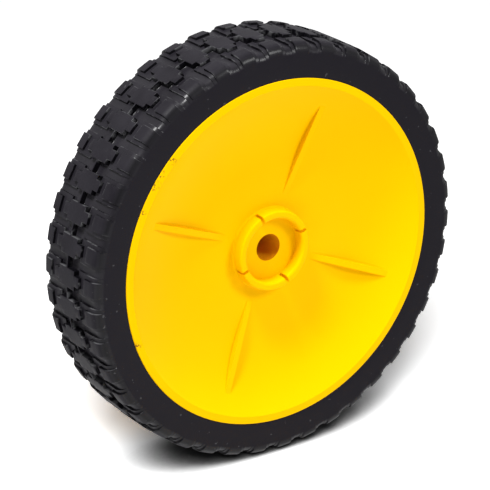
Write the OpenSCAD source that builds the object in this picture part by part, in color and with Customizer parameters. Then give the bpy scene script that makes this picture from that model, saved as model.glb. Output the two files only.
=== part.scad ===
// Drive wheel of a garden machine: a moulded plastic wheel body with an internal drive
// gear, and a moulded tyre with a block tread. Lengths are millimetres, angles degrees.
// The wheel turns about Y, its outboard face looks towards -Y, and +Z is up.
// Each piece is drawn about Z with its outboard face up, and turned into place at the end.

/* [Tyre] */
// Diameter over the tread blocks
tyre_d = 203.2; // [196:0.1:214]
// Width over the sidewalls
tyre_w = 46; // [42:0.5:54]
// Height of the tyre over the rim's flanges
tyre_wall = 17.5; // [15:0.1:19]
// Radius between tread and sidewall
shoulder_r = 5; // [3:0.5:6]
// Width of the level middle of the tread
crown_w = 20; // [14:1:24]
// How much lower the tread is at its shoulders than at its middle
crown_drop = 0.7; // [0.3:0.1:1.5]
// How much the sidewall falls back towards the rim
sidewall_fall = 0.3; // [0.2:0.1:1]

/* [Tread] */
// Number of blocks round the tyre
block_count = 42; // [36:1:46]
// Turn of the pattern about the axle
tread_turn = 1.9; // [0:0.1:8]
// Depth of the cross grooves
groove_depth = 2.9; // [2.2:0.1:4]
// Width of a cross groove at the shoulders
groove_w = 3.7; // [2.6:0.1:4.4]
// Width of a cross groove beside the middle blocks
groove_mid_w = 5.7; // [4.8:0.1:6.4]
// Length over the wide part of the grooves, which is the middle block's length
block_l = 13; // [10:0.5:14]
// Radius of a groove's floor as it turns over the shoulder
groove_turn_r = 4.3; // [3:0.1:4.8]
// Thickness of the tie that crosses each groove at the middle
tie_t = 1; // [0.8:0.1:2]
// Width of the step beside each shoulder lug
step_w = 2; // [1:0.1:2.4]
// Distance of the step's inner end from the middle of the tread
step_start = 9; // [8:0.1:10]
// Depth of the step at its inner end
step_lead = 0.4; // [0.2:0.1:0.8]
// Depth of the step at the shoulder
step_depth = 1; // [0.8:0.1:1.4]
// Radius of the step's floor as it turns over the shoulder
step_turn_r = 5.5; // [5:0.1:6]
// Width of the nose on each end of a middle block
nose_w = 5.2; // [3.6:0.1:5.6]
// Length of that nose
nose_l = 3.3; // [2:0.1:4]
// Length of the band between the nose and the slope up to the shoulder lug
pocket_gap = 2.4; // [1.4:0.1:3]
// Length of that slope
pocket_slope = 1.9; // [0.5:0.1:2.4]
// Depth of the pocket round the nose
pocket_depth = 1.5; // [1.1:0.1:2.1]
// Half width of the pocket beyond the lug's own half width
pocket_over = 0.2; // [0.1:0.1:0.6]

/* [Rim] */
// Width over the rim flanges
body_w = 45.8; // [42:0.2:46]
// Thickness of a flange
flange_t = 2.3; // [1.8:0.1:3]
// Height of a flange above the barrel
flange_h = 3.7; // [3:0.1:5]
// Wall of the barrel under the tyre
barrel_wall = 3; // [2:0.1:4]
// Width of the flat lip round the dish
lip_w = 3.6; // [3:0.1:5]
// Rounding of the lip's outer edge
lip_round = 0.3; // [0.2:0.1:1]
// Clearance between barrel and tyre
seat_gap = 0.1; // [0.05:0.05:0.3]

/* [Dish] */
// Thickness of the web
web_t = 3; // [2:0.1:4]
// Depth of the flat web below the lip
dish_depth = 11; // [10:0.1:13]
// Radius at which the web starts to curve up
dish_flat_r = 41; // [34:0.5:44]
// Number of straight gussets that stand out of the dish
gusset_count = 4; // [3:1:6]
// Turn of the first gusset
gusset_turn = 68; // [0:1:90]
// Thickness of a gusset
gusset_t = 3; // [2:0.1:4]
// Radius at which a gusset leaves the web
gusset_in_r = 26; // [24:0.5:30]
// Radius at which a gusset meets the dish again
gusset_out_r = 71; // [64:0.5:74]

/* [Hub] */
// Bore for the axle
bore_d = 13; // [12:0.1:16]
// Outer diameter of the hub tube
hub_tube_d = 22; // [20:0.5:26]
// Length of the bore
bore_l = 38; // [34:0.5:42]
// Outer diameter of the ring round the hub recess
ring_d = 39; // [37:0.1:44]
// Diameter of the hub recess
recess_d = 31.4; // [28:0.1:32]
// Depth of the ring's top below the lip
ring_depth = 4.5; // [3.5:0.1:5.5]
// Rounding of the ring's inner edge
ring_in_round = 1.4; // [0.4:0.1:1.6]
// Rounding of the ring's outer edge
ring_out_round = 0.9; // [0.4:0.1:1]
// Depth of the recess floor below the lip
floor_depth = 10.5; // [9:0.1:11.5]
// Fillet at the foot of the ring
ring_fillet = 1; // [0.5:0.1:3.4]
// Number of slots through the ring
slot_count = 4; // [2:1:6]
// Turn of the first slot
slot_turn = 23; // [0:1:90]
// Width of a slot
slot_w = 1.6; // [1:0.1:2.5]
// Depth of a slot
slot_depth = 5.4; // [2:0.1:5.6]

/* [Drive gear] */
// Number of teeth
tooth_count = 48; // [40:1:50]
// Module of the teeth
gear_module = 2.5; // [2.4:0.01:2.54]
// Pressure angle of the teeth
pressure_angle = 20; // [18:0.5:22]
// Backlash taken off each tooth
backlash = 0.25; // [0.1:0.05:0.4]
// Wall outside the tooth roots
gear_wall = 4; // [3:0.1:4.5]
// Distance of the gear's open end from the middle of the wheel
gear_reach = 18; // [14:0.5:20]
// Distance of the teeth's closed end from the middle of the wheel
gear_end = 5; // [2:0.5:6]

/* [Inboard ribs] */
// Number of ribs between gear and rim
rim_rib_count = 16; // [8:1:24]
// Thickness of those ribs
rim_rib_t = 2.2; // [1.6:0.1:3]
// How far those ribs stop short of the gear's open end
rim_rib_drop = 3; // [0:0.5:6]
// Number of ribs behind the web
web_rib_count = 8; // [4:4:12]
// Thickness of those ribs
web_rib_t = 2.5; // [2:0.1:3]
// How far those ribs climb along the hub tube, from the middle of the wheel
web_rib_reach = 10; // [4:0.5:14]
// Radius at which those ribs become low
web_rib_r = 34; // [28:0.5:38]
// Height of their low part
web_rib_h = 3; // [2:0.5:4]

/* [Hidden] */
$fn = 128;
cut_over = 1;

tyre_r = tyre_d / 2;
tread_half = tyre_w / 2;
rim_r = tyre_r - tyre_wall;
barrel_r = rim_r - flange_h;
barrel_in_r = barrel_r - barrel_wall;
lip_z = body_w / 2;
flange_in_z = lip_z - flange_t;
lip_in_r = rim_r - lip_w;

// Tread plan, measured along the surface at the tread radius.
pitch = 2 * PI * tyre_r / block_count;
lug_half = pitch / 2 - groove_w / 2 - step_w;
block_half_l = block_l / 2;
groove_narrow_z = block_half_l + groove_mid_w - groove_w;
pocket_end_z = block_half_l + nose_l + pocket_gap;
pocket_floor_r = tyre_r - pocket_depth;
groove_floor_r = tyre_r - groove_depth;
// How far the cuts over the shoulder pass the sidewall's plane, where they die out
side_pass = 0.1;

// Web and dish, with the lip's plane as the datum. The dish's curve ends at the lip.
web_z = lip_z - dish_depth;
web_back_z = web_z - web_t;
dish_curve_r = ((lip_in_r - dish_flat_r) ^ 2 + dish_depth ^ 2) / (2 * dish_depth);
dish_centre_z = web_z + dish_curve_r;

// Hub.
bore_r = bore_d / 2;
hub_tube_r = hub_tube_d / 2;
ring_r = ring_d / 2;
recess_r = recess_d / 2;
ring_top_z = lip_z - ring_depth;
floor_z = lip_z - floor_depth;
hub_end_z = floor_z - bore_l;

// Drive gear, with the teeth pointing at the axle.
gear_pitch_r = gear_module * tooth_count / 2;
gear_base_r = gear_pitch_r * cos(pressure_angle);
gear_tip_r = gear_pitch_r - gear_module;
gear_root_r = gear_pitch_r + 1.25 * gear_module;
gear_out_r = gear_root_r + gear_wall;
flank_steps = 4;

function dish_z(r) = r <= dish_flat_r ? web_z
    : dish_centre_z - sqrt(dish_curve_r ^ 2 - (r - dish_flat_r) ^ 2);

function arc(centre, radius, from, to, steps) =
    [for (i = [0:steps]) let (a = from + (to - from) * i / steps)
        centre + radius * [cos(a), sin(a)]];

// Radius of the tread at a distance from the middle, before any groove is cut
function crown_r(z) = tyre_r
    - crown_drop * max(0, abs(z) - crown_w / 2) / (tread_half - shoulder_r - crown_w / 2);

// Angle between the pitch point and a radius on an involute flank
function roll(r) = let (t = sqrt((r / gear_base_r) ^ 2 - 1)) t * 180 / PI - atan(t);

// Half of the angle that a tooth space takes at a radius
function space_half(r) = 90 / tooth_count + backlash / 2 / gear_pitch_r * 180 / PI
    - roll(r) + roll(gear_pitch_r);

// Turns a piece that was drawn about Z, so that its top looks outboard
module on_axle() {
    rotate([90, 0, 0]) children();
}

module around(count, turn) {
    for (i = [0:count - 1]) rotate([0, 0, turn + 360 * i / count]) children();
}

// Half of the tyre's section: bead, flange seat, sidewall, shoulder and crown
module tyre_half_section() {
    round_z = tread_half - shoulder_r;
    round_x = crown_r(round_z) - shoulder_r;
    polygon([
        [barrel_r + seat_gap, 0],
        [tyre_r, 0],
        [tyre_r, crown_w / 2],
        [round_x + shoulder_r, round_z],
        [round_x, round_z],
        [round_x, tread_half],
        [rim_r + seat_gap, tread_half - sidewall_fall],
        [rim_r + seat_gap, flange_in_z],
        [barrel_r + seat_gap, flange_in_z]
    ]);
    translate([round_x, round_z]) circle(r = shoulder_r);
}

// Half of the section that a cut leaves: level or sloping from a radius at a distance from
// the middle to another radius at the shoulder, then turning over the shoulder
module floor_half_section(start, start_r, end_r, turn_r) {
    round_z = tread_half + side_pass - turn_r;
    round_x = end_r - turn_r;
    polygon([
        [rim_r, start], [start_r, start], [end_r, round_z], [round_x, round_z],
        [round_x, tread_half + 3], [rim_r, tread_half + 3]
    ]);
    translate([round_x, round_z]) circle(r = turn_r);
}

module both_halves() {
    children();
    mirror([0, 1]) children();
}

// Raises a plan of the tread, drawn along the surface and across it, into a radial prism
module radial_prism(from_r) {
    rotate([90, 0, 90]) translate([0, 0, from_r])
        linear_extrude(tyre_r + cut_over - from_r) children();
}

// A flat piece, drawn as radius against height
module rib(thickness) {
    rotate([90, 0, 0]) linear_extrude(thickness, center = true) children();
}

module groove_plan() {
    wide = groove_mid_w / 2;
    narrow = groove_w / 2;
    end = tread_half + cut_over;
    polygon([
        [-wide, tie_t / 2], [wide, tie_t / 2], [wide, block_half_l], [narrow, groove_narrow_z],
        [narrow, end], [-narrow, end], [-narrow, groove_narrow_z], [-wide, block_half_l]
    ]);
}

module grooves() {
    intersection() {
        rotate_extrude() difference() {
            translate([rim_r + cut_over, -tread_half - 2]) square([tyre_r - rim_r + 1, tyre_w + 4]);
            both_halves()
                floor_half_section(0, groove_floor_r, groove_floor_r, groove_turn_r);
        }
        around(block_count, tread_turn)
            radial_prism(rim_r + 2 * cut_over) both_halves() groove_plan();
    }
}

// The lowered strips on both sides of a groove, as a piece of a ring over the shoulder
module step() {
    angle = 360 * (groove_w + 2 * step_w) / (2 * PI * tyre_r);
    end_r = crown_r(tread_half - step_turn_r) - step_depth;
    rotate([0, 0, -angle / 2]) rotate_extrude(angle = angle) difference() {
        translate([rim_r + 2 * cut_over, step_start])
            square([tyre_r - rim_r, tread_half + cut_over - step_start]);
        floor_half_section(step_start - 1, crown_r(step_start) - step_lead, end_r, step_turn_r);
    }
}

// The U-shaped pocket round the nose of a middle block, with a slope up to the shoulder lug
module pocket() {
    rise = cut_over + pocket_depth;
    difference() {
        rib(2 * (lug_half + pocket_over)) polygon([
            [pocket_floor_r, block_half_l],
            [pocket_floor_r, pocket_end_z],
            [pocket_floor_r + rise, pocket_end_z + pocket_slope * rise / pocket_depth],
            [pocket_floor_r + rise, block_half_l]
        ]);
        translate([pocket_floor_r - cut_over, -nose_w / 2, block_half_l - cut_over])
            cube([rise + 2 * cut_over, nose_w, nose_l + cut_over]);
    }
}

module tyre() {
    color([0.13, 0.12, 0.14]) on_axle() difference() {
        rotate_extrude() both_halves() tyre_half_section();
        grooves();
        around(block_count, tread_turn) {
            step();
            mirror([0, 0, 1]) step();
        }
        around(block_count, tread_turn + 180 / block_count) {
            pocket();
            mirror([0, 0, 1]) pocket();
        }
    }
}

// Section of the rim: barrel, both flanges and the lip round the dish
module rim_section() {
    polygon(concat(
        [[barrel_in_r, -lip_z]],
        arc([rim_r - lip_round, lip_round - lip_z], lip_round, -90, 0, 6),
        [[rim_r, -flange_in_z], [barrel_r, -flange_in_z], [barrel_r, flange_in_z], [rim_r, flange_in_z]],
        arc([rim_r - lip_round, lip_z - lip_round], lip_round, 0, 90, 6),
        [
            [lip_in_r + 0.3, lip_z],
            [lip_in_r + 0.3, lip_z - 1],
            [barrel_in_r + 1, dish_z(barrel_in_r + 1) - 0.2],
            [barrel_in_r, dish_z(barrel_in_r) - 0.2]
        ]
    ));
}

// Section of the web: level round the hub, then curving up to the lip, inside the barrel
module web_section() {
    flange_low = flange_in_z + 0.1;
    translate([recess_r, web_back_z]) square([dish_flat_r - recess_r, web_t]);
    intersection() {
        translate([dish_flat_r, dish_centre_z]) difference() {
            circle(r = dish_curve_r + web_t);
            circle(r = dish_curve_r);
        }
        polygon([
            [dish_flat_r, web_back_z], [barrel_in_r + 1, web_back_z], [barrel_in_r + 1, flange_low],
            [lip_in_r + 1, flange_low], [lip_in_r + 1, lip_z], [dish_flat_r, lip_z]
        ]);
    }
}

// Section of the hub: the tube, the floor of its recess, and the ring round the recess
module hub_section() {
    foot = [ring_r + ring_fillet, web_z + ring_fillet];
    translate([bore_r, hub_end_z]) square([hub_tube_r - bore_r, bore_l]);
    translate([bore_r, floor_z - web_t]) square([recess_r + 1 - bore_r, web_t]);
    polygon(concat(
        [[ring_r, web_back_z], [recess_r, web_back_z]],
        arc([recess_r + ring_in_round, ring_top_z - ring_in_round], ring_in_round, 180, 90, 8),
        arc([ring_r - ring_out_round, ring_top_z - ring_out_round], ring_out_round, 90, 0, 6)
    ));
    polygon(concat(
        [[ring_r - 1, web_z - 1], [ring_r - 1, foot[1]]],
        arc(foot, ring_fillet, 180, 270, 8),
        [[foot[0], web_z - 1]]
    ));
}

// Blank of the drive gear, as a ring behind the web
module gear_blank() {
    translate([gear_tip_r, -gear_reach])
        square([gear_out_r - gear_tip_r, gear_reach + dish_z(gear_tip_r) - web_t / 2]);
}

module tooth_space() {
    low = gear_tip_r - 0.4;
    radii = [for (i = [0:flank_steps]) gear_tip_r + (gear_root_r - gear_tip_r) * i / flank_steps];
    right = [for (r = radii) r * [cos(space_half(r)), -sin(space_half(r))]];
    left = [for (i = [flank_steps:-1:0])
        radii[i] * [cos(space_half(radii[i])), sin(space_half(radii[i]))]];
    mouth = low * [cos(space_half(gear_tip_r)), sin(space_half(gear_tip_r))];
    translate([0, 0, -gear_reach - cut_over])
        linear_extrude(gear_reach + cut_over + gear_end)
            polygon(concat(right, left, [mouth, [mouth[0], -mouth[1]]]));
}

// A gusset's crest is a straight line between two points on the dish, run on into the web
module gusset_plan() {
    slope = (dish_z(gusset_out_r) - web_z) / (gusset_out_r - gusset_in_r);
    polygon([
        [gusset_in_r - 1, web_z - slope], [gusset_out_r + 1, dish_z(gusset_out_r) + slope],
        [gusset_out_r + 1, dish_z(gusset_out_r) - web_t / 2], [dish_flat_r, web_z - web_t / 2],
        [gusset_in_r - 1, web_z - web_t / 2]
    ]);
}

module web_rib_plan() {
    out = gear_tip_r + 0.5;
    polygon([
        [hub_tube_r - 1, -web_rib_reach], [web_rib_r, web_back_z - web_rib_h],
        [out, dish_z(out) - web_t - web_rib_h], [out, dish_z(out) - web_t / 2],
        [dish_flat_r, web_back_z + web_t / 2], [ring_r, web_back_z + web_t / 2],
        [ring_r - 1, floor_z - web_t / 2], [hub_tube_r - 1, floor_z - web_t / 2]
    ]);
}

module rim_rib_plan() {
    low = -gear_reach + rim_rib_drop;
    polygon([
        [gear_out_r - 1, low], [barrel_in_r + 1, low],
        [barrel_in_r + 1, dish_z(barrel_in_r) - web_t / 2],
        [gear_out_r - 1, dish_z(gear_out_r) - web_t / 2]
    ]);
}

module wheel_body() {
    color([0.98, 0.78, 0.02]) on_axle() difference() {
        union() {
            rotate_extrude() {
                rim_section();
                web_section();
                hub_section();
                gear_blank();
            }
            around(gusset_count, gusset_turn) rib(gusset_t) gusset_plan();
            around(web_rib_count, gusset_turn) rib(web_rib_t) web_rib_plan();
            around(rim_rib_count, gusset_turn) rib(rim_rib_t) rim_rib_plan();
        }
        around(tooth_count, gusset_turn + 180 / tooth_count) tooth_space();
        around(slot_count, slot_turn)
            translate([recess_r - cut_over, -slot_w / 2, ring_top_z - slot_depth])
                cube([ring_r - recess_r + ring_fillet + cut_over, slot_w, slot_depth + cut_over]);
    }
}

tyre();
wheel_body();
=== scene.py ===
"""The looks of a garden machine drive wheel: a yellow moulded body in a black block tyre."""

import math

import bpy
import numpy as np
from bpy.props import FloatProperty, FloatVectorProperty, PointerProperty
from mathutils import Matrix, Vector


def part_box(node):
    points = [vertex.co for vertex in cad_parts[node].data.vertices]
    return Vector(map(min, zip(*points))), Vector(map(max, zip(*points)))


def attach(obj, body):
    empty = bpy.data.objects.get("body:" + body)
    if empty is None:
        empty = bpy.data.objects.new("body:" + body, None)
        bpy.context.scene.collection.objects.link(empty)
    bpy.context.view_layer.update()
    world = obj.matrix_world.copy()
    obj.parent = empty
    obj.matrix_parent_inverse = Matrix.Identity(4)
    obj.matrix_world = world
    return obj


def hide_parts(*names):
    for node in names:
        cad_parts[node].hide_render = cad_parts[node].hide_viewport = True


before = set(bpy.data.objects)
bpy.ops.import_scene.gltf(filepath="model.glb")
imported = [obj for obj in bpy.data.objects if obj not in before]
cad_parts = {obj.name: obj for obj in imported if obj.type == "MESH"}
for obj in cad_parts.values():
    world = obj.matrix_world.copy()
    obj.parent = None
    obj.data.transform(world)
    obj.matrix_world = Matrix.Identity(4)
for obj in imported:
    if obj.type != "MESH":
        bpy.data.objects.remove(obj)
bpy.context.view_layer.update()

bl_info = {
    "name": "Drive Wheel Looks",
    "version": (1, 0, 0),
    "blender": (4, 5, 0),
    "location": "3D View > Sidebar > Drive Wheel",
    "description": "Finishes a moulded drive wheel and its tyre, and sets up a studio for them",
    "category": "Object",
}

WHEEL_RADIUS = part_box("tyre")[1].x

# The tyre's measures in millimetres. Its section is the source's, and its tread plan is the
# finer one that the photo shows.
BLOCKS = 42
PATTERN_TURN = 1.9
TREAD_R, SEAT_R, BEAD_R = 101.6, 84.2, 80.5
HALF_W, BEAD_HALF, SIDE_FALL = 23.0, 20.6, 0.3
CROWN_HALF, CROWN_DROP, ROUND_R = 10.0, 0.7, 5.0
HALF_PITCH = math.pi * TREAD_R / BLOCKS
TIE_END, BLOCK_END, SHELF_START, NOSE_END, LUG_START = 0.5, 6.3, 8.0, 10.2, 14.1
NOSE_HALF, LUG_HALF, BLOCK_HALF, SHELF_HALF = 2.6, 3.75, 4.75, 5.75
GROOVE_R, GROOVE_TURN = 98.7, 4.3
SHELF_R, SHELF_END_R, SHELF_TURN = 99.8, 99.9, 5.5
SIDE_PASS = 0.1

# The tyre's grid. Four lines follow each edge of a cut: their distances past the edge, and the
# share of the cut's depth on each. The others are distances from the middle on the crown,
# degrees on the shoulder and radii on the sidewall.
EDGE_LINES, EDGE_SHARES = (-0.3, -0.06, 0.06, 0.3), (0, 0.06, 0.94, 1)
CROWN_LINES = (0.0, 3.6, 7.2, 12.2, 16.0, 17.2, 18.0)
SHOULDER_LINES = (9, 18, 28, 38, 48, 58, 68, 79, 90)
SIDE_LINES = (95.6, 95.3, 90.0, 84.7)

# The least slope between a ray and a floor that it meets, the painted edge highlight for each
# millimetre of drop beside an edge and the share taken off again, and the angle of a crisp edge.
LEAST_DROP = 0.05
HIGHLIGHT_RISE, HIGHLIGHT_START = 2, 0.6
CRISP = math.radians(40)

# Colours that no panel sets: painted shade on the walls of the cuts, a pale painted highlight on
# upper edges that also colours rubbed specks, painted shade in the bore, dirt in a scuff, and the
# tint of the plastic's highlights.
CUT_WALL_SHADE = (0.001, 0.001, 0.0015)
PALE_HIGHLIGHT_AND_RUB = (0.1, 0.1, 0.105)
BORE_SHADE = (0.6, 0.1, 0.01)
DIRT = (0.22, 0.1, 0.01)
HIGHLIGHT = (1.0, 0.75, 0.02)

# Scales of the noise patterns, in cells to the metre, and the strength and the height in
# metres of each moulded grain.
CLOUD_SCALE, RUBBER_GRAIN, SPECK_SCALE, EDGE_HIGHLIGHT_SCALE = 60, 900, 420, 180
FLOW_SCALE, PLASTIC_GRAIN, SCUFF_SCALE = 25, 700, 800
RUBBER_BUMP, PLASTIC_BUMP = (0.25, 0.0002), (0.12, 0.0001)

# Shares in the rubber's look: dust on all of the tread, in its blotches and in a speck, the
# painted shade on the cuts' walls, the rubbing of a speck and the sheen. Shares in the plastic's:
# its deeper tone, and the painted shade everywhere in the bore and by the flow pattern.
DUST_ALL, DUST_BLOTCH, DUST_SPECK = 0.08, 0.5, 0.8
WALL_SHADE, RUB_SPECK, SHEEN = 0.7, 0.4, 0.35
DEEP_TONE, BORE_SHADE_ALL, BORE_SHADE_FLOW = 0.93, 0.35, 0.5

# Scuffs on the rim's edge: the angle of each and how far it spreads in metres, and where the
# edge lies.
SCUFFS = ((135, 0.004), (141, 0.003), (145, 0.004), (199, 0.003), (154.5, 0.003))
SCUFF_R, SCUFF_Y = 0.0836, 0.0229

# The studio: place and size of each lamp in metres, the floor's reach and corners, how near the
# wheel a painted shadow darkens it, and its greys: as other surfaces see it, in the painted shadow
# right under the wheel, and in the open. The last is over 1, so the floor comes out as overexposed
# white.
KEY_LAMP = ((0.55, -0.95, 0.75), 0.4)
TOP_LAMP = ((-0.48, -0.17, 1.08), 0.25)
FLOOR_LAMP = ((-0.5, -0.63, 0.75), 0.6)
FLOOR_REACH, FLOOR_CORNERS, SHADE_REACH = 6.0, 96, 0.05
MATT_GREY, SHADE_GREY, OPEN_WHITE = 0.8, 0.1, 1.7


class DriveWheelTyre(bpy.types.PropertyGroup):
    """Colours and finish of the tyre"""

    rubber: FloatVectorProperty(
        name="Rubber", description="Colour of the tyre's sidewall",
        default=(0.0092, 0.008, 0.0112), size=3, subtype="COLOR", min=0, max=1)
    dust: FloatVectorProperty(
        name="Dust", description="Colour of the dust on the tread",
        default=(0.0262, 0.0245, 0.0297), size=3, subtype="COLOR", min=0, max=1)
    gloss: FloatProperty(
        name="Roughness", description="Roughness of the clean rubber",
        default=0.36, min=0, max=1, subtype="FACTOR")


class DriveWheelBody(bpy.types.PropertyGroup):
    """Colours and finish of the wheel body"""

    plastic: FloatVectorProperty(
        name="Plastic", description="Colour of the moulded plastic",
        default=(0.97, 0.55, 0.0), size=3, subtype="COLOR", min=0, max=1)
    roughness: FloatProperty(
        name="Roughness", description="Roughness of the smooth plastic",
        default=0.34, min=0, max=1, subtype="FACTOR")


class DriveWheelStudio(bpy.types.PropertyGroup):
    """The camera's place and the lamps"""

    azimuth: FloatProperty(
        name="Azimuth", description="Turn of the camera about the vertical, from the wheel's face",
        default=math.radians(-34.26), subtype="ANGLE")
    elevation: FloatProperty(
        name="Elevation", description="Height angle of the camera",
        default=math.radians(21.66), subtype="ANGLE")
    distance: FloatProperty(
        name="Distance", description="Distance of the camera from the wheel's middle",
        default=1.206, min=0.3, unit="LENGTH")
    lens: FloatProperty(
        name="Focal Length", description="Focal length in millimetres on a 36 mm sensor",
        default=188.7, min=20)
    aim_right: FloatProperty(
        name="Aim Right", description="How far right of the wheel's middle the camera stands",
        default=-0.00378, unit="LENGTH")
    aim_up: FloatProperty(
        name="Aim Up", description="How far above the wheel's middle the camera stands",
        default=-0.00273, unit="LENGTH")
    key_power: FloatProperty(
        name="Key", description="Power of the key lamp in watts", default=8.9, min=0)
    top_power: FloatProperty(
        name="Top", description="Power of the overhead lamp in watts", default=18.0, min=0)
    floor_power: FloatProperty(
        name="Floor", description="Power of the floor's lamp in watts", default=25.0, min=0)
    ambient: FloatProperty(
        name="Ambient", description="Brightness of the surroundings", default=0.3, min=0)


class Wire:
    """A socket's value in an expression: each operator adds its Math node."""

    def __init__(self, shader, socket):
        self.shader = shader
        self.socket = socket

    def __add__(self, other):
        return self.shader.math("ADD", self, other)

    def __rsub__(self, other):
        return self.shader.math("SUBTRACT", other, self)

    def __mul__(self, other):
        return self.shader.math("MULTIPLY", self, other)

    def __truediv__(self, other):
        return self.shader.math("DIVIDE", self, other)

    __radd__ = __add__


class Shader:
    """The node tree of a material or a world, with one method that adds any node."""

    def __init__(self, owner):
        self.owner = owner
        owner.use_nodes = True
        self.tree = owner.node_tree
        self.tree.nodes.clear()

    def node(self, kind, settings=None, *inputs, out=0, **named):
        """Adds a node, applies its settings, fills its sockets in order or by name, and
        returns one of its outputs, if it has any."""
        made = self.tree.nodes.new(kind)
        for key, value in (settings or {}).items():
            if key == "stops":
                self.fill_ramp(made.color_ramp, value)
            else:
                setattr(made, key, value)
        for place, value in list(enumerate(inputs)) + list(named.items()):
            key = place if isinstance(place, int) else place.replace("_", " ")
            self.fill(made.inputs[key], value)
        return Wire(self, made.outputs[out]) if made.outputs else None

    def fill(self, socket, value):
        """Links a wire to a socket, or sets the socket to a constant."""
        if isinstance(value, Wire):
            self.tree.links.new(value.socket, socket)
        elif isinstance(value, (tuple, list)) and socket.type == "RGBA":
            socket.default_value = (*value[:3], 1)
        else:
            socket.default_value = value

    def fill_ramp(self, ramp, stops):
        """Gives a ramp its stops, each a grey."""
        while len(ramp.elements) < len(stops):
            ramp.elements.new(0.5)
        for element, (position, value) in zip(ramp.elements, stops):
            element.position = position
            element.color = (value, value, value, 1)

    def ramp(self, value, *stops):
        """A level that runs straight between stops, each a value from 0 to 1 and its level."""
        return self.node("ShaderNodeValToRGB", {"stops": stops}, value)

    def noise(self, place, scale, detail):
        return self.node("ShaderNodeTexNoise", None, Vector=place, Scale=scale, Detail=detail)

    def mix(self, factor, first, second):
        """Blends two colours. The colour sockets of a Mix node are its seventh and eighth."""
        made = self.tree.nodes.new("ShaderNodeMix")
        made.data_type = "RGBA"
        for socket, value in zip((made.inputs[0], made.inputs[6], made.inputs[7]),
                                 (factor, first, second)):
            self.fill(socket, value)
        return Wire(self, made.outputs[2])

    def math(self, operation, first, second):
        return self.node("ShaderNodeMath", {"operation": operation}, first, second)

    def vector(self, operation, *inputs, out=0):
        return self.node("ShaderNodeVectorMath", {"operation": operation}, *inputs, out=out)

    def ray(self, kind):
        """1 for rays of one kind and 0 for all others."""
        return self.node("ShaderNodeLightPath", out=kind)

    def place(self):
        return self.node("ShaderNodeTexCoord", out="Object")

    def from_axle(self, place):
        """The straight line from the axle's centre line to a place: the place without its
        part along the axle."""
        return self.vector("MULTIPLY", place, (1, 0, 1))

    def axle_distance(self, place):
        """Distance from the axle's centre line, in metres."""
        return self.vector("LENGTH", self.from_axle(place), out="Value")

    def outward(self, place):
        """How far a surface faces away from the axle, as the dot product of its normal and
        the unit vector that points away from the axle: 1 on level tread and 0 on a wall."""
        away = self.vector("NORMALIZE", self.from_axle(place))
        facing = self.node("ShaderNodeTexCoord", out="Normal")
        return self.vector("DOT_PRODUCT", away, facing, out="Value")

    def bump(self, height, strength, distance):
        return self.node("ShaderNodeBump", None, Height=height, Strength=strength,
                         Distance=distance)

    def finish(self, surface, output="ShaderNodeOutputMaterial"):
        """Ends the tree with its output node and returns the tree's owner."""
        self.node(output, None, surface)
        return self.owner


def soft_edge(past):
    """Share of a cut's full depth at a distance past its edge: 0 before the edge and 1 a
    little behind it, with a broken brink, a steep wall and a small slope at its foot."""
    return np.interp(past, EDGE_LINES, EDGE_SHARES)


def brink(edge):
    """Four grid lines that follow a cut's edge."""
    return [edge + line for line in EDGE_LINES]


def crown_radius(across):
    """Tread radius at a distance from the middle: level, then falling on a cone."""
    slope = CROWN_DROP / (HALF_W - ROUND_R - CROWN_HALF)
    return TREAD_R - slope * np.maximum(0, across - CROWN_HALF)


def tyre_rows():
    """Points of one half of the outer section, from the middle of the tread over the
    shoulder to the rim, with the direction in which the cuts go down from each: towards
    the axle on the crown, towards the shoulder's centre on the shoulder, and level on the
    sidewall. Returns the distance from the middle, the radius and that direction."""
    edges = (TIE_END, BLOCK_END, SHELF_START, NOSE_END, LUG_START)
    across = np.sort(np.concatenate([CROWN_LINES, *(brink(edge) for edge in edges)]))
    crown = np.stack([across, crown_radius(across)], axis=1)
    down = np.tile([0.0, -1.0], (len(across), 1))
    centre = np.array([HALF_W - ROUND_R, crown_radius(HALF_W - ROUND_R) - ROUND_R])
    turn = np.radians(SHOULDER_LINES)
    ray = np.stack([np.sin(turn), np.cos(turn)], axis=1)
    shoulder = centre + ROUND_R * ray
    radius = np.array(SIDE_LINES)
    fall = SIDE_FALL * (centre[1] - radius) / (centre[1] - SEAT_R)
    side = np.stack([HALF_W - fall, radius], axis=1)
    level = np.tile([-1.0, 0.0], (len(radius), 1))
    points = np.concatenate([crown, shoulder, side])
    return points[:, 0], points[:, 1], np.concatenate([down, -ray, level])


def cut_depth(across, radius, down, start, start_r, end_r, turn_r):
    """How far below each row's point a cut's floor lies along the row's direction. The
    floor runs straight from a start to the shoulder and then on an arc, as a ray meets
    them: first the line, and where that is past its end or runs nearly along the ray, the
    circle. Below the arc's centre nothing is cut."""
    centre = np.array([HALF_W + SIDE_PASS - turn_r, end_r - turn_r])
    slope = (end_r - start_r) / (centre[0] - start)
    drop = down[:, 1] - slope * down[:, 0]
    gap = start_r + slope * (across - start) - radius
    line = gap / np.minimum(drop, -LEAST_DROP)
    inside = (drop < -LEAST_DROP) & (across + line * down[:, 0] <= centre[0])
    away_x, away_r = across - centre[0], radius - centre[1]
    along = away_x * down[:, 0] + away_r * down[:, 1]
    room = np.maximum(0, along ** 2 - away_x ** 2 - away_r ** 2 + turn_r ** 2)
    circle = -along - np.sqrt(room)
    depth = np.where(inside, line, circle)
    return np.where(radius > centre[1], np.maximum(0, depth), 0)


def painted_edge_highlights(depth):
    """Share of painted highlight at each point of a grid, high along the upper edge of a cut:
    twice the drop in millimetres to the deepest neighbour, less 0.6, kept between 0 and 1."""
    around = [np.roll(depth, step, axis) for axis in (0, 1) for step in (-1, 1)]
    return np.clip(HIGHLIGHT_RISE * (np.max(around, axis=0) - depth) - HIGHLIGHT_START, 0, 1)


def both_halves(half, sign=1):
    """Rows of the whole section, from those of the half that starts at the middle."""
    return np.concatenate([half[::-1], sign * half[1:]])


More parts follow.
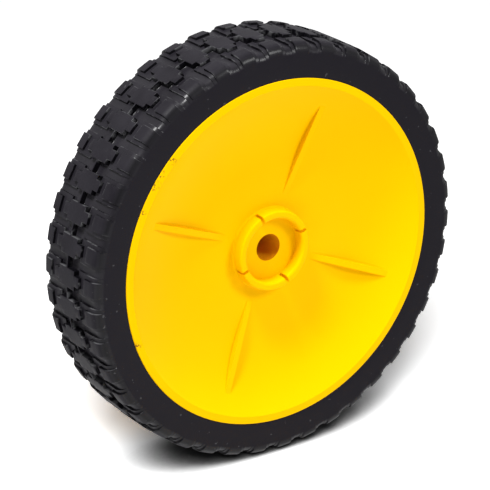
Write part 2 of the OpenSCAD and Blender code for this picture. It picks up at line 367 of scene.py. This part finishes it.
def tyre_grid():
    """The tyre as a ring of 42 like pitches, closed round the section. A point of the
    surface is the outer section's point, lowered along its row's direction. Middle block,
    nose and shoulder lug keep the full height, the shelf round the nose and beside the lug
    is lowered to its own floor, and all else but the tie goes down to the groove's floor.
    Each form is a product of soft edges, and the grid's lines follow those edges. Returns points
    by row and column, in metres, and the painted edge highlight of each."""
    across, radius, down = tyre_rows()
    edge = np.interp(across, (BLOCK_END, SHELF_START), (BLOCK_HALF, SHELF_HALF))
    steady = np.ones_like(across)
    columns = [0 * steady, *brink(NOSE_HALF * steady)[:3], *brink(LUG_HALF * steady),
               *brink(edge), HALF_PITCH * steady]
    half = np.stack(columns, axis=1)
    x = np.concatenate([-half[:, :0:-1], half[:, :-1]], axis=1)
    beside, far = np.abs(x), across[:, None]

    block = soft_edge(BLOCK_HALF - beside) * soft_edge(BLOCK_END - far)
    nose = soft_edge(NOSE_HALF - beside) * soft_edge(NOSE_END - far)
    lug = soft_edge(LUG_HALF - beside) * soft_edge(far - LUG_START)
    shelf = soft_edge(SHELF_HALF - beside) * soft_edge(far - SHELF_START)
    low = (1 - block) * (1 - nose) * (1 - lug)
    to_shelf = cut_depth(across, radius, down, 0.0, SHELF_R, SHELF_END_R, SHELF_TURN)
    to_groove = cut_depth(across, radius, down, 0.0, GROOVE_R, GROOVE_R, GROOVE_TURN)
    in_groove = (1 - shelf) * soft_edge(far - TIE_END)
    depth = low * (to_shelf[:, None] * shelf + to_groove[:, None] * in_groove)

    side = across[:, None] + depth * down[:, :1]
    height = radius[:, None] + depth * down[:, 1:]
    foot = HALF_W - SIDE_FALL
    bead = np.array([[foot - 0.12, SEAT_R + 0.05], [foot - 0.45, SEAT_R],
                     [BEAD_HALF, SEAT_R], [BEAD_HALF, BEAD_R]])
    plain = np.ones((len(bead), x.shape[1]))
    side = both_halves(np.concatenate([side, bead[:, :1] * plain]), -1)
    height = both_halves(np.concatenate([height, bead[:, 1:] * plain]))
    # Painted highlight: a pale share along the upper edges of the cuts.
    wear = both_halves(np.concatenate([painted_edge_highlights(depth), 0 * plain]))
    x = both_halves(np.concatenate([x, x[-1:] * plain]))

    centres = np.radians(PATTERN_TURN) + (np.arange(BLOCKS) + 0.5) * 2 * np.pi / BLOCKS
    angle = (centres[None, :, None] + x[:, None, :] / TREAD_R).reshape(len(x), -1)
    side, height = np.tile(side, (1, BLOCKS)), np.tile(height, (1, BLOCKS))
    points = np.stack([height * np.cos(angle), -side, height * np.sin(angle)], axis=2) / 1000
    return points, np.tile(wear, (1, BLOCKS))


def closed_mesh(name, points, wear):
    """A mesh of quads on a grid of points that is closed both ways, shaded smooth up to its crisp
    edges. It carries the points' painted edge highlight as an attribute."""
    rows, columns = points.shape[:2]
    index = np.arange(rows * columns).reshape(rows, columns)
    right, below = np.roll(index, -1, axis=1), np.roll(index, -1, axis=0)
    across = np.roll(below, -1, axis=1)
    quads = np.stack([index, below, across, right], axis=2).reshape(-1, 4)
    mesh = bpy.data.meshes.new(name)
    mesh.vertices.add(rows * columns)
    mesh.vertices.foreach_set("co", points.astype(np.float32).ravel())
    mesh.loops.add(quads.size)
    mesh.loops.foreach_set("vertex_index", quads.astype(np.int32).ravel())
    mesh.polygons.add(len(quads))
    mesh.polygons.foreach_set("loop_start", np.arange(0, quads.size, 4, dtype=np.int32))
    mesh.polygons.foreach_set("use_smooth", np.ones(len(quads), dtype=bool))
    mesh.update(calc_edges=True)
    mesh.validate()
    mesh.set_sharp_from_angle(angle=CRISP)
    # The attribute holds the painted highlight along the cuts' upper edges.
    edge_glint = mesh.attributes.new("wear", "FLOAT", "POINT")
    edge_glint.data.foreach_set("value", wear.astype(np.float32).ravel())
    return mesh


def tyre_material(finish):
    """Satin rubber. The dust's share is a small one plus half the blotches wherever the tread
    faces outwards, and most of each speck. The walls of the cuts get a painted shade, upper edges
    a pale painted highlight, and specks are rubbed pale; the rounded shoulders have a thin sheen
    that the clouds break up. The tread and the sheen go by the radius."""
    shader = Shader(bpy.data.materials.new("moulded_rubber"))
    place = shader.place()
    decimetres = shader.axle_distance(place) * 10
    tread = shader.ramp(decimetres, (0.955, 0), (0.985, 1))
    sheen = shader.ramp(decimetres, (0.957, 0), (0.965, 1), (0.999, 1), (1.0, 0))
    level = shader.ramp(shader.outward(place), (0.55, 0), (0.92, 1))
    cloud = shader.noise(place, CLOUD_SCALE, 4)
    grain = shader.noise(place, RUBBER_GRAIN, 2)
    blotch = shader.ramp(cloud, (0.35, 0), (0.65, 1))
    speck = shader.ramp(shader.noise(place, SPECK_SCALE, 2), (0.725, 0), (0.76, 1))
    dust = tread * level * (DUST_ALL + blotch * DUST_BLOTCH) + speck * DUST_SPECK
    dusty = shader.mix(dust, tuple(finish.rubber), tuple(finish.dust))
    # Painted shade: the walls of the cuts are darkened in the colour.
    wall_shaded = shader.mix(tread * (1 - level) * WALL_SHADE, dusty, CUT_WALL_SHADE)
    # Painted highlight: the upper edges of the cuts, broken into patches, are painted pale, and
    # specks are rubbed pale.
    edge_glint = shader.node("ShaderNodeAttribute", {"attribute_name": "wear"}, out="Fac")
    patches = shader.ramp(shader.noise(place, EDGE_HIGHLIGHT_SCALE, 3), (0.5, 0), (0.6, 1))
    colour = shader.mix(edge_glint * patches + speck * RUB_SPECK, wall_shaded, PALE_HIGHLIGHT_AND_RUB)
    surface = shader.node("ShaderNodeBsdfPrincipled", None, Base_Color=colour,
                          Roughness=dust * 0.3 + finish.gloss + grain * 0.08,
                          Normal=shader.bump(grain, *RUBBER_BUMP), Specular_IOR_Level=0.08,
                          Coat_Weight=sheen * cloud * SHEEN, Coat_Roughness=0.22)
    return shader.finish(surface)


def plastic_material(finish):
    """Smooth yellow plastic with a faint flow pattern and a fine moulded grain. A painted shade
    darkens and reddens the bore. Dirt sits in a few scuffs on the rim's edge: its share falls from
    1 at a fifth of a scuff's reach to 0 at its full reach, and a noise breaks it up."""
    shader = Shader(bpy.data.materials.new("yellow_plastic"))
    place = shader.place()
    flow = shader.noise(place, FLOW_SCALE, 3)
    grain = shader.noise(place, PLASTIC_GRAIN, 2)
    deep = tuple(channel * DEEP_TONE for channel in finish.plastic)
    clean = shader.mix(flow, tuple(finish.plastic), deep)
    centimetres = shader.axle_distance(place) * 100
    bore = shader.ramp(centimetres, (0.64, 1), (0.67, 0))
    # Painted shade: the bore is darkened and reddened in the colour.
    bore_shaded = shader.mix(bore * (BORE_SHADE_ALL + flow * BORE_SHADE_FLOW), clean, BORE_SHADE)
    near = 0
    for turn, reach in SCUFFS:
        angle = math.radians(turn)
        middle = (SCUFF_R * math.cos(angle), -SCUFF_Y, SCUFF_R * math.sin(angle))
        away = shader.vector("DISTANCE", place, middle, out="Value")
        near = shader.ramp(away / reach, (0.2, 1), (1.0, 0)) + near
    broken = shader.ramp(shader.noise(place, SCUFF_SCALE, 3), (0.54, 0), (0.64, 1))
    colour = shader.mix(near * broken, bore_shaded, DIRT)
    surface = shader.node("ShaderNodeBsdfPrincipled", None, Base_Color=colour,
                          Roughness=flow * 0.08 + grain * 0.06 + (finish.roughness - 0.07),
                          Normal=shader.bump(grain, *PLASTIC_BUMP), Specular_IOR_Level=0.04,
                          Specular_Tint=HIGHLIGHT)
    return shader.finish(surface)


def give_material(piece, material):
    piece.data.materials.clear()
    piece.data.materials.append(material)


def add_piece(name, mesh, node, material):
    """A new piece that stands for a node and rides with the wheel."""
    piece = bpy.data.objects.new(name, mesh)
    bpy.context.scene.collection.objects.link(piece)
    give_material(piece, material)
    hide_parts(node)
    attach(piece, "root")


class DRIVEWHEEL_OT_tyre(bpy.types.Operator):
    """Makes the tyre with its moulded tread"""

    bl_idname = "drivewheel.tyre"
    bl_label = "Tyre"

    def execute(self, context):
        mesh = closed_mesh("moulded_tyre", *tyre_grid())
        material = tyre_material(context.scene.drivewheel_tyre)
        add_piece("moulded_tyre", mesh, "tyre", material)
        return {"FINISHED"}


class DRIVEWHEEL_OT_body(bpy.types.Operator):
    """Gives the wheel body its plastic"""

    bl_idname = "drivewheel.body"
    bl_label = "Wheel Body"

    def execute(self, context):
        material = plastic_material(context.scene.drivewheel_body)
        give_material(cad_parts["wheel_body"], material)
        return {"FINISHED"}


def camera_axes(studio):
    """Right, up and backward of the camera as unit vectors, from its two angles."""
    azimuth, elevation = studio.azimuth, studio.elevation
    back = Vector((math.sin(azimuth) * math.cos(elevation),
                   -math.cos(azimuth) * math.cos(elevation), math.sin(elevation)))
    right = Vector((math.cos(azimuth), math.sin(azimuth), 0))
    return right, back.cross(right), back


def add_camera(studio):
    """The camera at its distance from the wheel's middle, moved aside by the studio's aim
    without being turned."""
    right, up, back = camera_axes(studio)
    data = bpy.data.cameras.new("camera")
    data.lens = studio.lens
    data.clip_start = 0.05
    camera = bpy.data.objects.new("camera", data)
    stand = back * studio.distance + right * studio.aim_right + up * studio.aim_up
    turn = Matrix((right, up, back)).transposed().to_4x4()
    camera.matrix_world = Matrix.Translation(stand) @ turn
    bpy.context.scene.collection.objects.link(camera)
    bpy.context.scene.camera = camera


def collected(name, *members):
    """A collection of the objects with these names."""
    group = bpy.data.collections.new(name)
    for member in members:
        group.objects.link(bpy.data.objects[member])
    return group


def add_lamp(name, place, size, power, lit):
    """A square area lamp that faces the wheel's middle and lights one collection only."""
    data = bpy.data.lights.new(name, "AREA")
    data.size = size
    data.energy = power
    lamp = bpy.data.objects.new(name, data)
    turn = Vector(place).to_track_quat("Z", "Y").to_matrix().to_4x4()
    lamp.matrix_world = Matrix.Translation(place) @ turn
    lamp.light_linking.receiver_collection = lit
    bpy.context.scene.collection.objects.link(lamp)


def grey(level):
    return (level, level, level)


def add_floor():
    """A flat disc under the tread. To the camera it is overexposed white paper with a painted
    shadow: ambient occlusion greys its colour where the wheel stands close over it."""
    shader = Shader(bpy.data.materials.new("studio_floor"))
    matt = shader.node("ShaderNodeBsdfDiffuse", None, Color=grey(MATT_GREY))
    # Painted shadow: where the wheel stands close, ambient occlusion greys the paper's colour.
    sky = shader.node("ShaderNodeAmbientOcclusion", None, Distance=SHADE_REACH, out="AO")
    opened = shader.ramp(sky, (0.25, 0), (0.8, 1))
    shaded_white = shader.mix(opened, grey(SHADE_GREY), grey(OPEN_WHITE))
    paper = shader.node("ShaderNodeBsdfDiffuse", None, Color=shaded_white)
    seen = shader.ray("Is Camera Ray")
    surface = shader.node("ShaderNodeMixShader", None, seen, matt, paper)
    angle = np.linspace(0, 2 * np.pi, FLOOR_CORNERS, endpoint=False)
    corners = np.stack([FLOOR_REACH * np.cos(angle), FLOOR_REACH * np.sin(angle),
                        np.full_like(angle, -WHEEL_RADIUS)], axis=1)
    mesh = bpy.data.meshes.new("floor")
    mesh.from_pydata(corners.tolist(), [], [list(range(FLOOR_CORNERS))])
    floor = bpy.data.objects.new("floor", mesh)
    give_material(floor, shader.finish(surface))
    bpy.context.scene.collection.objects.link(floor)


def set_world(ambient):
    """Surroundings that light the wheel at an even level, and that are bright to the camera
    and in glossy reflections: their strength is the ambient level, raised to 1 for those."""
    shader = Shader(bpy.data.worlds.new("studio"))
    seen = shader.math("MAXIMUM", shader.ray("Is Camera Ray"), shader.ray("Is Glossy Ray"))
    light = shader.node("ShaderNodeBackground", None, Strength=seen * (1 - ambient) + ambient)
    bpy.context.scene.world = shader.finish(light, "ShaderNodeOutputWorld")


class DRIVEWHEEL_OT_studio(bpy.types.Operator):
    """Sets up the floor, the lamps, the surroundings and the camera"""

    bl_idname = "drivewheel.studio"
    bl_label = "Studio"

    def execute(self, context):
        studio = context.scene.drivewheel_studio
        add_floor()
        set_world(studio.ambient)
        wheel = collected("wheel", "moulded_tyre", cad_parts["wheel_body"].name)
        stage = collected("stage", "floor")
        add_lamp("key", *KEY_LAMP, studio.key_power, wheel)
        add_lamp("top", *TOP_LAMP, studio.top_power, wheel)
        add_lamp("floor", *FLOOR_LAMP, studio.floor_power, stage)
        add_camera(studio)
        context.scene.view_settings.view_transform = "Standard"
        return {"FINISHED"}


class DRIVEWHEEL_PT_sidebar(bpy.types.Panel):
    """Lists the tyre, the wheel body and the studio with their settings"""

    bl_idname = "DRIVEWHEEL_PT_sidebar"
    bl_label = "Drive Wheel"
    bl_space_type = "VIEW_3D"
    bl_region_type = "UI"
    bl_category = "Drive Wheel"

    def draw(self, context):
        scene = context.scene
        groups = (
            (DRIVEWHEEL_OT_tyre, scene.drivewheel_tyre, ("rubber", "dust", "gloss")),
            (DRIVEWHEEL_OT_body, scene.drivewheel_body, ("plastic", "roughness")),
            (DRIVEWHEEL_OT_studio, scene.drivewheel_studio,
             ("azimuth", "elevation", "distance", "lens", "aim_right", "aim_up",
              "key_power", "top_power", "floor_power", "ambient")),
        )
        for operator, values, names in groups:
            box = self.layout.box()
            for name in names:
                box.prop(values, name)
            box.operator(operator.bl_idname)


CLASSES = (
    DriveWheelTyre, DriveWheelBody, DriveWheelStudio,
    DRIVEWHEEL_OT_tyre, DRIVEWHEEL_OT_body, DRIVEWHEEL_OT_studio, DRIVEWHEEL_PT_sidebar,
)


def register():
    for item in CLASSES:
        bpy.utils.register_class(item)
    bpy.types.Scene.drivewheel_tyre = PointerProperty(type=DriveWheelTyre)
    bpy.types.Scene.drivewheel_body = PointerProperty(type=DriveWheelBody)
    bpy.types.Scene.drivewheel_studio = PointerProperty(type=DriveWheelStudio)


def unregister():
    del bpy.types.Scene.drivewheel_studio
    del bpy.types.Scene.drivewheel_body
    del bpy.types.Scene.drivewheel_tyre
    for item in reversed(CLASSES):
        bpy.utils.unregister_class(item)


def main():
    register()
    bpy.ops.drivewheel.tyre()
    bpy.ops.drivewheel.body()
    bpy.ops.drivewheel.studio()


if __name__ == "__main__":
    main()
